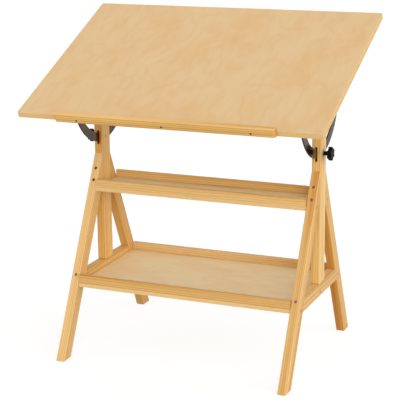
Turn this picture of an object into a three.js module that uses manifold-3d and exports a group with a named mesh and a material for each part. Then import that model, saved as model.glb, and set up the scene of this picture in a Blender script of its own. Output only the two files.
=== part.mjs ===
// Drafting table: a tilting board on two A-frames that are tied together by two shelves.
// Millimetres, +Z up. +X is the sitter's right and +Y points away from the sitter.
import * as THREE from "three";
import { mergeVertices } from "three/addons/utils/BufferGeometryUtils.js";
import Module from "manifold-3d";

const wasm = await Module();
wasm.setup();

// Clearance between pieces that touch or that are screwed together.
const GAP = 0.3;

// Tilting top. Its depths and heights are measured along and square to the board, from the hinge.
const TOP_WIDTH = 914;
const TOP_DEPTH = 607;
const TOP_THICKNESS = 18;
const TOP_TILT_DEG = 24.6;
const TOP_FRONT = -298.4;
const TOP_UNDERSIDE_OVER = 70.8;
const TOP_CORNER_RADIUS = 3;

// Pencil ledge along the front edge.
const LEDGE_LENGTH = 660;
const LEDGE_DEPTH = 15;
const LEDGE_HEIGHT = 25;
const LEDGE_RISE = 12;
const LEDGE_END_RADIUS = 8;
const LEDGE_SCREW_PITCH = 260;
const LEDGE_SCREW_UNDER_SURFACE = 5;

// A-frames, whose members all have the same width along X.
const FRAME_INNER = 334;
const FRAME_OUTER = 360;
const POST_HALF_DEPTH = 26;
const PIVOT_HEIGHT = 786;
const LEG_THICKNESS = 40;
const FRONT_LEG = { foot: -313.7, top: 573.4, side: -1 };
const BACK_LEG = { foot: 282.2, top: 566, side: 1 };
const RAIL_BOTTOM = 197;
const RAIL_TOP = 235;

// Shelves: a panel with a low board standing along its front and back.
const SHELF_PANEL = 12;
const SHELF_BOARD = 12;
const SHELF_HALF_WIDTH = FRAME_INNER - GAP;
const UPPER_SHELF = { name: "upper_shelf", bottom: 467, top: 502, front: -79, back: 73 };
const LOWER_SHELF = { name: "lower_shelf", bottom: 201, top: 237.8, front: -206, back: 180 };

// Quadrant: a steel band bent round the hinge, with a screw foot at each end.
const QUADRANT_INNER = 345;
const QUADRANT_OUTER = 349;
const QUADRANT_BORE_RADIUS = 152;
const QUADRANT_RIM_RADIUS = 179;
const QUADRANT_MEAN_RADIUS = (QUADRANT_BORE_RADIUS + QUADRANT_RIM_RADIUS) / 2;
const QUADRANT_FOOT_OUTER = 369;
const QUADRANT_FOOT_THICKNESS = 4;
const QUADRANT_FOOT_HOLE_X = 360;
const QUADRANT_FOOT_HOLE_RADIUS = 2.4;
const INDEX_HOLE_RADIUS = 2.25;
const INDEX_HOLE_PITCH_DEG = 24.6;
const INDEX_HOLES = 3;

// Mortise that the quadrant runs through.
const MORTISE = { inner: 344, outer: 350, bottom: 600, top: 642 };

// Hinge bearer: a rail under the board with a rounded belly round the pivot bolt.
const BEARER_INNER = 312;
const BEARER_OUTER = 332;
const BEARER_HALF_LENGTH = 210;
const BEARER_RAIL_HEIGHT = 25;
const BEARER_BELLY_RADIUS = 24;
const BEARER_SHOULDER = 70;
const BEARER_CHAMFER = 6;

// Fasteners, as radius and length.
const LEG_BOLT = { head: 4.25, headDepth: 5, sink: 1, shank: 2.5, x: 347, socket: 2.3, socketDepth: 3 };
const LEG_BOLTS = [
  { name: "upper", height: 530, length: 44 },
  { name: "middle", height: 497, length: 60 },
  { name: "rail", height: 235, length: 75 },
];
const PANEL_SCREW = { head: 4, headDepth: 2.5, shank: 2, length: 45 };
const LEDGE_SCREW = { head: 3, headDepth: 2, shank: 1.6, length: 38 };
const PANEL_SCREWS = [
  { name: "upper_front", y: -49.8, z: 474 },
  { name: "upper_back", y: 48.4, z: 474 },
  { name: "lower_front", y: -189.5, z: 208 },
  { name: "lower_middle", y: -10.8, z: 208 },
  { name: "lower_back", y: 167.7, z: 208 },
];
const PIVOT_BOLT = { shank: 4, head: 9, headDepth: 5, tip: 300 };
const PIVOT_NUT = { flange: 10, flangeDepth: 2, hex: 7.5, hexDepth: 6.7 };
const PIVOT_SPACER_RADIUS = 11;

// Clamp: a knob on a screw that presses the quadrant against the inner cheek of the mortise.
const CLAMP_HEIGHT = PIVOT_HEIGHT - QUADRANT_MEAN_RADIUS;
const CLAMP_SCREW = { radius: 3, tip: QUADRANT_OUTER + GAP, end: 382 };
const CLAMP_INSERT_RADIUS = 4.5;
const CLAMP_INNER_HOLE_RADIUS = 3;
const CLAMP_WASHER = { radius: 8, thickness: 1.5 };
const KNOB = { boss: 6.2, bossLength: 13, thickness: 13, bevel: 2.2, radius: 17.5, wave: 2.5, lobes: 6 };

const X_AXIS = new THREE.Vector3(1, 0, 0);
const Y_AXIS = new THREE.Vector3(0, 1, 0);
const Z_AXIS = new THREE.Vector3(0, 0, 1);
const SIDES = { left: -1, right: 1 };
const degrees = THREE.MathUtils.degToRad;

const woodFace = () => new THREE.MeshStandardMaterial({ color: 0xdcb98b, roughness: 0.62, metalness: 0 });
const woodRail = () => new THREE.MeshStandardMaterial({ color: 0xd3a872, roughness: 0.6, metalness: 0 });
const blackSteel = () => new THREE.MeshStandardMaterial({ color: 0x2b2724, roughness: 0.42, metalness: 0.7 });
const zincSteel = () => new THREE.MeshStandardMaterial({ color: 0x9b9a97, roughness: 0.35, metalness: 1 });
const blackPlastic = () => new THREE.MeshStandardMaterial({ color: 0x141414, roughness: 0.5, metalness: 0 });

// Solid for cutting and joining, made from a closed three.js geometry.
function solidOf(geometry) {
  const flat = geometry.index ? geometry.toNonIndexed() : geometry;
  const bare = new THREE.BufferGeometry();
  bare.setAttribute("position", flat.getAttribute("position"));
  const merged = mergeVertices(bare, 1e-3);
  return new wasm.Manifold(
    new wasm.Mesh({
      numProp: 3,
      vertProperties: merged.getAttribute("position").array,
      triVerts: new Uint32Array(merged.index.array),
    }),
  );
}

function geometryOf(solid) {
  const mesh = solid.getMesh();
  const indexed = new THREE.BufferGeometry();
  indexed.setAttribute("position", new THREE.BufferAttribute(mesh.vertProperties, 3));
  indexed.setIndex(new THREE.BufferAttribute(mesh.triVerts, 1));
  const geometry = indexed.toNonIndexed();
  geometry.computeVertexNormals();
  return geometry;
}

function cut(geometry, holes) {
  let body = solidOf(geometry);
  for (const hole of holes) body = body.subtract(solidOf(hole));
  return geometryOf(body);
}

function join(first, second) {
  return geometryOf(solidOf(first).add(solidOf(second)));
}

// Outline of [y, z] points as a shape.
function outline(points) {
  return new THREE.Shape(points.map(([y, z]) => new THREE.Vector2(y, z)));
}

// Shape in the YZ plane, extruded from one x to another.
function prism(shape, fromX, toX, options = {}) {
  const low = Math.min(fromX, toX);
  const depth = Math.abs(toX - fromX);
  const settings = { depth, bevelEnabled: false, curveSegments: 12, ...options };
  const geometry = new THREE.ExtrudeGeometry(shape, settings);
  geometry.applyMatrix4(new THREE.Matrix4().makeBasis(Y_AXIS, Z_AXIS, X_AXIS));
  geometry.translate(low, 0, 0);
  return geometry;
}

function block(x, y, z) {
  return prism(outline([[y[0], z[0]], [y[1], z[0]], [y[1], z[1]], [y[0], z[1]]]), x[0], x[1]);
}

// Profile of [radius, distance] points, turned round a line from start towards direction.
function turned(profile, start, direction, segments = 12) {
  const points = profile.map(([radius, distance]) => new THREE.Vector2(radius, distance));
  const geometry = new THREE.LatheGeometry(points, segments);
  geometry.applyQuaternion(new THREE.Quaternion().setFromUnitVectors(Y_AXIS, direction));
  geometry.translate(start.x, start.y, start.z);
  return geometry;
}

// Round bar between two distances along a line.
function rod(radius, from, to, start, direction, segments = 12) {
  return turned([[0, from], [radius, from], [radius, to], [0, to]], start, direction, segments);
}

// Ring between two distances along a line.
function ring(bore, radius, from, to, start, direction, segments = 16) {
  const section = [[bore, from], [radius, from], [radius, to], [bore, to], [bore, from]];
  return turned(section, start, direction, segments);
}

function add(group, name, geometry, material) {
  const mesh = new THREE.Mesh(geometry, material);
  mesh.name = name;
  group.add(mesh);
}

// A sloping leg in the YZ plane: its outer face runs from the foot to the post's face.
function legLine(leg) {
  const postFace = leg.side * (POST_HALF_DEPTH + GAP);
  const slope = (postFace - leg.foot) / leg.top;
  const thicknessAlongY = LEG_THICKNESS * Math.hypot(1, slope);
  const outerFace = (z) => leg.foot + slope * z;
  const innerFace = (z) => outerFace(z) - leg.side * thicknessAlongY;
  const innerTop = (postFace + leg.side * thicknessAlongY - leg.foot) / slope;
  const into = new THREE.Vector3(0, -leg.side, leg.side * slope).normalize();
  return { postFace, slope, outerFace, innerFace, innerTop, into };
}

function legBoltHole(start, into, length) {
  const neck = LEG_BOLT.sink + LEG_BOLT.headDepth + GAP;
  const profile = [
    [0, -2],
    [LEG_BOLT.head + GAP, -2],
    [LEG_BOLT.head + GAP, neck],
    [LEG_BOLT.shank + GAP, neck],
    [LEG_BOLT.shank + GAP, length + GAP],
    [0, length + GAP],
  ];
  return turned(profile, start, into);
}

function legBolt(start, into, length) {
  const neck = LEG_BOLT.sink + LEG_BOLT.headDepth;
  const profile = [
    [0, LEG_BOLT.sink],
    [LEG_BOLT.head, LEG_BOLT.sink],
    [LEG_BOLT.head, neck],
    [LEG_BOLT.shank, neck],
    [LEG_BOLT.shank, length],
    [0, length],
  ];
  const socket = rod(LEG_BOLT.socket, 0, LEG_BOLT.sink + LEG_BOLT.socketDepth, start, into, 6);
  return cut(turned(profile, start, into), [socket]);
}

function countersunkHole(screw, start, into) {
  const profile = [
    [0, -1],
    [screw.head + GAP, -1],
    [screw.head + GAP, GAP],
    [screw.shank + GAP, screw.headDepth + GAP],
    [screw.shank + GAP, screw.length + GAP],
    [0, screw.length + GAP],
  ];
  return turned(profile, start, into);
}

function countersunkScrew(screw, start, into) {
  const profile = [
    [0, 0],
    [screw.head, 0],
    [screw.shank, screw.headDepth],
    [screw.shank, screw.length - screw.headDepth],
    [0, screw.length],
  ];
  return turned(profile, start, into);
}

const frame = new THREE.Group();
const top = new THREE.Group();
top.position.z = PIVOT_HEIGHT;
top.rotation.x = degrees(TOP_TILT_DEG);

const panelHoles = { upper: [], lower: [] };
const panelHalf = SHELF_HALF_WIDTH;

for (const [sideName, side] of Object.entries(SIDES)) {
  const inward = X_AXIS.clone().multiplyScalar(-side);
  const outward = X_AXIS.clone().multiplyScalar(side);
  const outerFace = (y, z) => new THREE.Vector3(side * FRAME_OUTER, y, z);
  const frameX = [side * FRAME_INNER, side * FRAME_OUTER];

  // Bores and screw holes, collected for the wood that they go through.
  const legHoles = { front: [], back: [] };
  const postHoles = [];
  const railHoles = [];

  for (const [legName, leg] of Object.entries({ front: FRONT_LEG, back: BACK_LEG })) {
    const line = legLine(leg);
    for (const bolt of LEG_BOLTS) {
      const start = new THREE.Vector3(side * LEG_BOLT.x, line.outerFace(bolt.height), bolt.height);
      const hole = legBoltHole(start, line.into, bolt.length);
      legHoles[legName].push(hole);
      (bolt.name === "rail" ? railHoles : postHoles).push(hole);
      const name = `leg_bolt_${legName}_${sideName}_${bolt.name}`;
      add(frame, name, legBolt(start, line.into, bolt.length), blackSteel());
    }
  }

  for (const place of PANEL_SCREWS) {
    const start = outerFace(place.y, place.z);
    const hole = countersunkHole(PANEL_SCREW, start, inward);
    const [level, where] = place.name.split("_");
    panelHoles[level].push(hole);
    if (where === "middle") railHoles.push(hole);
    else legHoles[where].push(hole);
    add(frame, `panel_screw_${sideName}_${place.name}`, countersunkScrew(PANEL_SCREW, start, inward), zincSteel());
  }

  // Legs.
  for (const [legName, leg] of Object.entries({ front: FRONT_LEG, back: BACK_LEG })) {
    const line = legLine(leg);
    const shape = outline([
      [line.outerFace(0), 0],
      [line.innerFace(0), 0],
      [line.postFace, line.innerTop],
      [line.postFace, leg.top],
    ]);
    add(frame, `${legName}_leg_${sideName}`, cut(prism(shape, ...frameX), legHoles[legName]), woodRail());
  }

  // Side rail, mitred between the legs.
  const front = legLine(FRONT_LEG);
  const back = legLine(BACK_LEG);
  const railShape = outline([
    [front.innerFace(RAIL_BOTTOM) + GAP, RAIL_BOTTOM],
    [back.innerFace(RAIL_BOTTOM) - GAP, RAIL_BOTTOM],
    [back.innerFace(RAIL_TOP) - GAP, RAIL_TOP],
    [front.innerFace(RAIL_TOP) + GAP, RAIL_TOP],
  ]);
  add(frame, `side_rail_${sideName}`, cut(prism(railShape, ...frameX), railHoles), woodRail());

  // Post, rounded over at the hinge and mortised for the quadrant.
  const postShape = outline([
    [-POST_HALF_DEPTH, RAIL_TOP + GAP],
    [POST_HALF_DEPTH, RAIL_TOP + GAP],
  ]);
  postShape.lineTo(POST_HALF_DEPTH, PIVOT_HEIGHT);
  postShape.absarc(0, PIVOT_HEIGHT, POST_HALF_DEPTH, 0, Math.PI, false);
  const pivotCentre = new THREE.Vector3(0, 0, PIVOT_HEIGHT);
  const clampCentre = new THREE.Vector3(0, 0, CLAMP_HEIGHT);
  const mortise = block(
    [side * MORTISE.inner, side * MORTISE.outer],
    [-POST_HALF_DEPTH - 1, POST_HALF_DEPTH + 1],
    [MORTISE.bottom, MORTISE.top],
  );
  postHoles.push(
    mortise,
    rod(PIVOT_BOLT.shank + GAP, FRAME_INNER - 1, FRAME_OUTER + 1, pivotCentre, outward, 16),
    rod(CLAMP_INNER_HOLE_RADIUS, FRAME_INNER - 1, MORTISE.inner + 1, clampCentre, outward),
    rod(CLAMP_INSERT_RADIUS + GAP, MORTISE.outer - 1, FRAME_OUTER + 1, clampCentre, outward),
  );
  add(frame, `post_${sideName}`, cut(prism(postShape, ...frameX), postHoles), woodRail());

  // Hinge: bolt through the post and the bearer, spacer between them, flange nut inside.
  const headFrom = FRAME_OUTER + GAP;
  const headTo = headFrom + PIVOT_BOLT.headDepth;
  const boltProfile = [
    [0, PIVOT_BOLT.tip],
    [PIVOT_BOLT.shank, PIVOT_BOLT.tip],
    [PIVOT_BOLT.shank, headFrom],
    [PIVOT_BOLT.head, headFrom],
    [PIVOT_BOLT.head, headFrom + 1.2],
    [PIVOT_BOLT.head * 0.8, headFrom + 3.4],
    [PIVOT_BOLT.head * 0.42, headTo - 0.4],
    [0, headTo],
  ];
  add(frame, `pivot_bolt_${sideName}`, turned(boltProfile, pivotCentre, outward, 16), zincSteel());
  const spacer = ring(
    PIVOT_BOLT.shank + GAP, PIVOT_SPACER_RADIUS,
    BEARER_OUTER + GAP, FRAME_INNER - GAP, pivotCentre, outward, 16,
  );
  add(frame, `pivot_spacer_${sideName}`, spacer, zincSteel());
  const nutFace = BEARER_INNER - GAP;
  const flangeBack = nutFace - PIVOT_NUT.flangeDepth;
  const flange = rod(PIVOT_NUT.flange, flangeBack, nutFace, pivotCentre, outward, 16);
  const hex = rod(PIVOT_NUT.hex, flangeBack - PIVOT_NUT.hexDepth, flangeBack + 1, pivotCentre, outward, 6);
  const nutBore = rod(PIVOT_BOLT.shank + GAP, PIVOT_BOLT.tip, BEARER_INNER, pivotCentre, outward, 16);
  add(frame, `pivot_nut_${sideName}`, cut(join(flange, hex), [nutBore]), zincSteel());

  // Threaded insert for the clamp screw.
  const insert = ring(
    CLAMP_SCREW.radius + GAP, CLAMP_INSERT_RADIUS,
    MORTISE.outer + GAP, FRAME_OUTER, clampCentre, outward,
  );
  add(frame, `clamp_insert_${sideName}`, insert, zincSteel());

  // Clamp washer, screw and knob.
  const washerFrom = FRAME_OUTER + GAP;
  const washerTo = washerFrom + CLAMP_WASHER.thickness;
  const washer = ring(
    CLAMP_SCREW.radius + GAP, CLAMP_WASHER.radius,
    washerFrom, washerTo, clampCentre, outward, 16,
  );
  add(frame, `clamp_washer_${sideName}`, washer, zincSteel());
  const clampScrew = rod(CLAMP_SCREW.radius, CLAMP_SCREW.tip, CLAMP_SCREW.end, clampCentre, outward, 12);
  add(frame, `clamp_screw_${sideName}`, clampScrew, zincSteel());

  const bossFrom = washerTo + GAP;
  const bossTo = bossFrom + KNOB.bossLength;
  const boss = rod(KNOB.boss, bossFrom, bossTo + 1, clampCentre, outward, 16);
  const knobPoints = [];
  const knobSteps = KNOB.lobes * 8;
  const firstLobe = Math.PI / 2;
  for (let step = 0; step < knobSteps; step += 1) {
    const angle = (step / knobSteps) * Math.PI * 2;
    const radius = KNOB.radius - KNOB.bevel + KNOB.wave * Math.cos(KNOB.lobes * (angle - firstLobe));
    knobPoints.push([Math.cos(angle) * radius, Math.sin(angle) * radius + CLAMP_HEIGHT]);
  }
  const rimFrom = bossTo + KNOB.bevel;
  const rimTo = bossTo + KNOB.thickness - KNOB.bevel;
  const grip = prism(outline(knobPoints), side * rimFrom, side * rimTo, {
    bevelEnabled: true,
    bevelSize: KNOB.bevel,
    bevelThickness: KNOB.bevel,
    bevelSegments: 2,
  });
  const knobBore = rod(
    CLAMP_SCREW.radius + GAP, bossFrom - 1, CLAMP_SCREW.end + GAP, clampCentre, outward, 12,
  );
  add(frame, `clamp_knob_${sideName}`, cut(join(grip, boss), [knobBore]), blackPlastic());

  // Hinge bearer under the board, drawn in the board's own frame with the hinge at its origin.
  const seat = TOP_UNDERSIDE_OVER - GAP;
  const railUnder = seat - BEARER_RAIL_HEIGHT;
  const shoulder = new THREE.Vector2(-BEARER_SHOULDER, railUnder);
  const tangent = shoulder.angle() + Math.acos(BEARER_BELLY_RADIUS / shoulder.length());
  const bearerShape = outline([
    [-BEARER_HALF_LENGTH, seat],
    [-BEARER_HALF_LENGTH, railUnder + BEARER_CHAMFER],
    [-BEARER_HALF_LENGTH + BEARER_CHAMFER, railUnder],
    [-BEARER_SHOULDER, railUnder],
  ]);
  bearerShape.absarc(0, 0, BEARER_BELLY_RADIUS, tangent, 3 * Math.PI - tangent, false);
  bearerShape.lineTo(BEARER_SHOULDER, railUnder);
  bearerShape.lineTo(BEARER_HALF_LENGTH - BEARER_CHAMFER, railUnder);
  bearerShape.lineTo(BEARER_HALF_LENGTH, railUnder + BEARER_CHAMFER);
  bearerShape.lineTo(BEARER_HALF_LENGTH, seat);
  const bearerBore = rod(
    PIVOT_BOLT.shank + GAP, BEARER_INNER - 1, BEARER_OUTER + 1, new THREE.Vector3(), outward, 16,
  );
  const bearer = prism(bearerShape, side * BEARER_INNER, side * BEARER_OUTER);
  add(top, `bearer_${sideName}`, cut(bearer, [bearerBore]), woodRail());

  // Quadrant: band, feet and index holes.
  const rimEnd = Math.asin(seat / QUADRANT_RIM_RADIUS);
  const boreEnd = Math.asin(seat / QUADRANT_BORE_RADIUS);
  const band = new THREE.Shape();
  band.absarc(0, 0, QUADRANT_RIM_RADIUS, Math.PI - rimEnd, 2 * Math.PI + rimEnd, false);
  band.absarc(0, 0, QUADRANT_BORE_RADIUS, boreEnd, -Math.PI - boreEnd, true);
  const bandX = [side * QUADRANT_INNER, side * QUADRANT_OUTER];
  const footX = [side * QUADRANT_INNER, side * QUADRANT_FOOT_OUTER];
  const footZ = [seat - QUADRANT_FOOT_THICKNESS, seat];
  const footNear = Math.sqrt(QUADRANT_BORE_RADIUS ** 2 - seat ** 2);
  const footFar = Math.sqrt(QUADRANT_RIM_RADIUS ** 2 - seat ** 2);
  let quadrant = prism(band, ...bandX, { curveSegments: 40 });
  const quadrantHoles = [];
  for (const end of [-1, 1]) {
    quadrant = join(quadrant, block(footX, [end * footNear, end * footFar], footZ));
    for (const share of [0.28, 0.72]) {
      const holeY = end * (footNear + share * (footFar - footNear));
      const centre = new THREE.Vector3(side * QUADRANT_FOOT_HOLE_X, holeY, 0);
      quadrantHoles.push(rod(QUADRANT_FOOT_HOLE_RADIUS, footZ[0] - 1, seat + 1, centre, Z_AXIS, 12));
    }
  }
  for (let hole = 0; hole < INDEX_HOLES; hole += 1) {
    const angle = degrees(INDEX_HOLE_PITCH_DEG * hole);
    const centre = new THREE.Vector3(
      0, -QUADRANT_MEAN_RADIUS * Math.sin(angle), -QUADRANT_MEAN_RADIUS * Math.cos(angle),
    );
    quadrantHoles.push(rod(INDEX_HOLE_RADIUS, QUADRANT_INNER - 1, QUADRANT_OUTER + 1, centre, outward, 12));
  }
  add(top, `quadrant_${sideName}`, cut(quadrant, quadrantHoles), blackSteel());
}

// Shelves.
for (const shelf of [UPPER_SHELF, LOWER_SHELF]) {
  const across = [-panelHalf, panelHalf];
  const panelTop = shelf.bottom + SHELF_PANEL;
  const boardZ = [panelTop + GAP, shelf.top];
  const level = shelf.name.split("_")[0];
  const panel = block(across, [shelf.front, shelf.back], [shelf.bottom, panelTop]);
  add(frame, `${shelf.name}_panel`, cut(panel, panelHoles[level]), woodFace());
  const frontBoard = block(across, [shelf.front, shelf.front + SHELF_BOARD], boardZ);
  add(frame, `${shelf.name}_front_board`, frontBoard, woodRail());
  const backBoard = block(across, [shelf.back - SHELF_BOARD, shelf.back], boardZ);
  add(frame, `${shelf.name}_back_board`, backBoard, woodRail());
}

// Board and pencil ledge, in the board's own frame.
const topSurface = TOP_UNDERSIDE_OVER + TOP_THICKNESS;
const ledgeBack = TOP_FRONT - GAP;
const ledgeFront = ledgeBack - LEDGE_DEPTH;
const ledgeBottom = topSurface + LEDGE_RISE - LEDGE_HEIGHT;
const ledgeScrewHeight = topSurface - LEDGE_SCREW_UNDER_SURFACE;
const ledgeHoles = [];
for (const [name, x] of Object.entries({ left: -LEDGE_SCREW_PITCH, middle: 0, right: LEDGE_SCREW_PITCH })) {
  const start = new THREE.Vector3(x, ledgeFront, ledgeScrewHeight);
  ledgeHoles.push(countersunkHole(LEDGE_SCREW, start, Y_AXIS));
  add(top, `ledge_screw_${name}`, countersunkScrew(LEDGE_SCREW, start, Y_AXIS), blackSteel());
}

// Plan outline with rounded corners, extruded upwards from a height.
function slab(halfWidth, front, back, radius, bottom, height) {
  const shape = new THREE.Shape();
  shape.absarc(halfWidth - radius.back, back - radius.back, radius.back, 0, Math.PI / 2, false);
  shape.absarc(radius.back - halfWidth, back - radius.back, radius.back, Math.PI / 2, Math.PI, false);
  shape.absarc(radius.front - halfWidth, front + radius.front, radius.front, Math.PI, 1.5 * Math.PI, false);
  shape.absarc(halfWidth - radius.front, front + radius.front, radius.front, 1.5 * Math.PI, 2 * Math.PI, false);
  const geometry = new THREE.ExtrudeGeometry(shape, { depth: height, bevelEnabled: false, curveSegments: 5 });
  geometry.translate(0, 0, bottom);
  return geometry;
}

const boardCorners = { front: TOP_CORNER_RADIUS, back: TOP_CORNER_RADIUS };
const board = slab(
  TOP_WIDTH / 2, TOP_FRONT, TOP_FRONT + TOP_DEPTH, boardCorners, TOP_UNDERSIDE_OVER, TOP_THICKNESS,
);
add(top, "tabletop", cut(board, ledgeHoles), woodFace());
const ledgeCorners = { front: LEDGE_END_RADIUS, back: 1 };
const ledge = slab(LEDGE_LENGTH / 2, ledgeFront, ledgeBack, ledgeCorners, ledgeBottom, LEDGE_HEIGHT);
add(top, "pencil_ledge", cut(ledge, ledgeHoles), woodRail());

// The table stands centred on the origin: halfway between the ledge's front and the back feet.
const ledgeFrontmost = ledgeFront * Math.cos(top.rotation.x)
  - (topSurface + LEDGE_RISE) * Math.sin(top.rotation.x);
const table = new THREE.Group();
table.add(frame, top);
table.position.y = -(ledgeFrontmost + BACK_LEG.foot) / 2;

export default table;
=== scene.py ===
import math

import bmesh
import bpy
from mathutils import Matrix, Vector


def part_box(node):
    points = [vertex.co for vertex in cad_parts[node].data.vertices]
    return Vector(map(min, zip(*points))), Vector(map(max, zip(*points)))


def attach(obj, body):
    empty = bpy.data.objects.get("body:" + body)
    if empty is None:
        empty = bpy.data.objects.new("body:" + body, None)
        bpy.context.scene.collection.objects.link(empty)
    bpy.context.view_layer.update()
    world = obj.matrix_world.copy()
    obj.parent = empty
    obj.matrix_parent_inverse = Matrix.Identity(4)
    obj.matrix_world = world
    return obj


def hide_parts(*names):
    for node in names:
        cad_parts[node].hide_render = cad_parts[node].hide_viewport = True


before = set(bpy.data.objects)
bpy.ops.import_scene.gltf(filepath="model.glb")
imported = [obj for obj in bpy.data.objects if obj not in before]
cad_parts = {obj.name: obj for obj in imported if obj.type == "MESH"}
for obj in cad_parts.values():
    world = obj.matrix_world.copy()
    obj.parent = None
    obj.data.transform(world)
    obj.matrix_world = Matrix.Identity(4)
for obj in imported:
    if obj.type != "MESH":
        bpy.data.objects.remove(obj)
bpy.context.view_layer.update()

# The table's own space: millimetres, with the posts' middle at y = 0 and the floor at z = 0.
post_low, post_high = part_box("post_right")
SHIFT_Y = (post_low[1] + post_high[1]) / 2
TABLE = Matrix.Translation((0, SHIFT_Y, 0)) @ Matrix.Scale(0.001, 4)

# The board's space: millimetres from the hinge, with +Y up the slope and +Z square to the board.
PIVOT_HEIGHT = 786
TOP_TILT = math.radians(24.6)
BOARD = TABLE @ Matrix.Translation((0, 0, PIVOT_HEIGHT)) @ Matrix.Rotation(TOP_TILT, 4, "X")

GAP = 0.3
# How far a cutter runs past the face that it opens.
PAST = 2
TOP_WIDTH, TOP_DEPTH, TOP_THICKNESS = 914, 607, 18
TOP_FRONT, TOP_UNDERSIDE, TOP_CORNER = -298.4, 70.8, 3
LEDGE_LENGTH, LEDGE_DEPTH, LEDGE_HEIGHT, LEDGE_RISE = 660, 15, 25, 12
LEDGE_SCREWS = {"left": -260, "middle": 0, "right": 260}
LEDGE_SCREW_UNDER_SURFACE = 5
FRAME_INNER, FRAME_OUTER = 334, 360
POST_HALF = 26
LEG_THICKNESS = 40
LEGS = {"front": (-313.7, 573.4, -1), "back": (282.2, 566.0, 1)}
RAIL_BOTTOM, RAIL_TOP = 197, 235
SHELVES = {"upper": (467, 502, -79, 73), "lower": (201, 237.8, -206, 180)}
SHELF_PANEL = SHELF_BOARD = 12
SHELF_HALF = FRAME_INNER - GAP
BAND_INNER, BAND_OUTER, BAND_BORE, BAND_RIM = 345, 349, 152, 179
BAND_MEAN = (BAND_BORE + BAND_RIM) / 2
# Height of the upper faces of the bearers and the quadrants' feet, a gap below the board.
SEAT = TOP_UNDERSIDE - GAP
FOOT_OUTER, FOOT_THICKNESS, FOOT_HOLE_X, FOOT_HOLE = 369, 4, 360, 2.4
INDEX_PITCH, INDEX_HOLES, INDEX_HOLE = 24.6, 3, 2.25
MORTISE = (344, 350, 600, 642)
BEARER_INNER, BEARER_OUTER, BEARER_HALF, BEARER_RAIL = 312, 332, 210, 25
BEARER_BELLY, BEARER_SHOULDER, BEARER_CHAMFER = 24, 70, 6
BEARER_SCREWS = (-182, -112, 112, 182)
LEG_BOLT_X = 347
LEG_BOLT = {"head": 4.25, "sink": 1, "neck": 6, "shank": 2.5, "socket": 2.3, "socket_depth": 3}
LEG_BOLTS = {"upper": (530, 44), "middle": (497, 60), "rail": (235, 75)}
PANEL_SCREWS = {
    "upper_front": (-49.8, 474),
    "upper_back": (48.4, 474),
    "lower_front": (-189.5, 208),
    "lower_middle": (-10.8, 208),
    "lower_back": (167.7, 208),
}
CLAMP_HEIGHT = PIVOT_HEIGHT - BAND_MEAN
PIVOT, CLAMP = (0, 0, PIVOT_HEIGHT), (0, 0, CLAMP_HEIGHT)
M8_BORE, M6_BORE, INSERT_BORE, PILOT_BORE = 4.3, 3.3, 4.8, 3
# Turned hardware: its radius, then where it starts and ends along X.
SPACER = (11, BEARER_OUTER + GAP, FRAME_INNER - GAP)
INSERT = (4.5, MORTISE[1] + GAP, FRAME_OUTER)
WASHER = (8, FRAME_OUTER + GAP, FRAME_OUTER + 1.8)
KNOB_RADIUS, KNOB_WAVE, KNOB_LOBES = 17.5, 2.5, 6
# Where the knob's boss meets its grip, and where the grip ends, measured along X.
KNOB_BOSS_END, KNOB_END = 375.1, 388.1
SIDES = {"left": -1, "right": 1}
SHARP_ANGLE = math.radians(38)

X, Y, Z = Vector((1, 0, 0)), Vector((0, 1, 0)), Vector((0, 0, 1))


# ---------------------------------------------------------------- mesh tools


def extruded(points, low, high, normal="X"):
    """Closed outline, extruded along an axis. Points are (y, z) for X, (x, z) for Y, (x, y) for Z."""
    place = {
        "X": lambda a, b, c: (c, a, b),
        "Y": lambda a, b, c: (a, c, b),
        "Z": lambda a, b, c: (a, b, c),
    }[normal]
    low, high = min(low, high), max(low, high)
    bm = bmesh.new()
    first = [bm.verts.new(place(a, b, low)) for a, b in points]
    last = [bm.verts.new(place(a, b, high)) for a, b in points]
    bm.faces.new(first)
    bm.faces.new(last)
    for i in range(len(points)):
        j = (i + 1) % len(points)
        bm.faces.new((first[i], first[j], last[j], last[i]))
    bmesh.ops.recalc_face_normals(bm, faces=bm.faces)
    return bm


def block(x, y, z):
    return extruded([(y[0], z[0]), (y[1], z[0]), (y[1], z[1]), (y[0], z[1])], x[0], x[1])


def turned(profile, start, direction, segments=32):
    """Profile of (radius, distance), turned round a line. It starts and ends on the line, or closes."""
    direction = Vector(direction).normalized()
    turn = Z.rotation_difference(direction).to_matrix()
    start = Vector(start)
    bm = bmesh.new()
    rings = []
    for radius, distance in profile:
        count = 1 if radius < 1e-6 else segments
        ring = []
        for k in range(count):
            angle = 2 * math.pi * k / segments
            local = Vector((radius * math.cos(angle), radius * math.sin(angle), distance))
            ring.append(bm.verts.new(start + turn @ local))
        rings.append(ring)
    pairs = list(zip(rings, rings[1:]))
    if len(rings[0]) > 1:
        pairs.append((rings[-1], rings[0]))
    for a, b in pairs:
        for k in range(segments):
            n = (k + 1) % segments
            corners = [a[k % len(a)], a[n % len(a)], b[n % len(b)], b[k % len(b)]]
            face = [v for i, v in enumerate(corners) if v not in corners[:i]]
            if len(face) > 2:
                bm.faces.new(face)
    bmesh.ops.recalc_face_normals(bm, faces=bm.faces)
    return bm


def rod(radius, low, high, start, direction, segments=32):
    return turned([(0, low), (radius, low), (radius, high), (0, high)], start, direction, segments)


def ring(bore, radius, low, high, start, direction):
    """Washer or sleeve with small chamfers on both rims."""
    c = 0.3
    section = [
        (bore, low + c), (bore + c, low), (radius - c, low), (radius, low + c),
        (radius, high - c), (radius - c, high), (bore + c, high), (bore, high - c),
    ]
    return turned(section, start, direction, 40)


def eased(bm, width, segments=3, angle=0.5):
    """Rounds every edge that is sharper than an angle."""
    sharp = [e for e in bm.edges if len(e.link_faces) == 2 and e.calc_face_angle() > angle]
    bmesh.ops.bevel(
        bm, geom=sharp, offset=width, segments=segments, profile=0.5,
        affect="EDGES", clamp_overlap=True,
    )
    return bm


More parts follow.
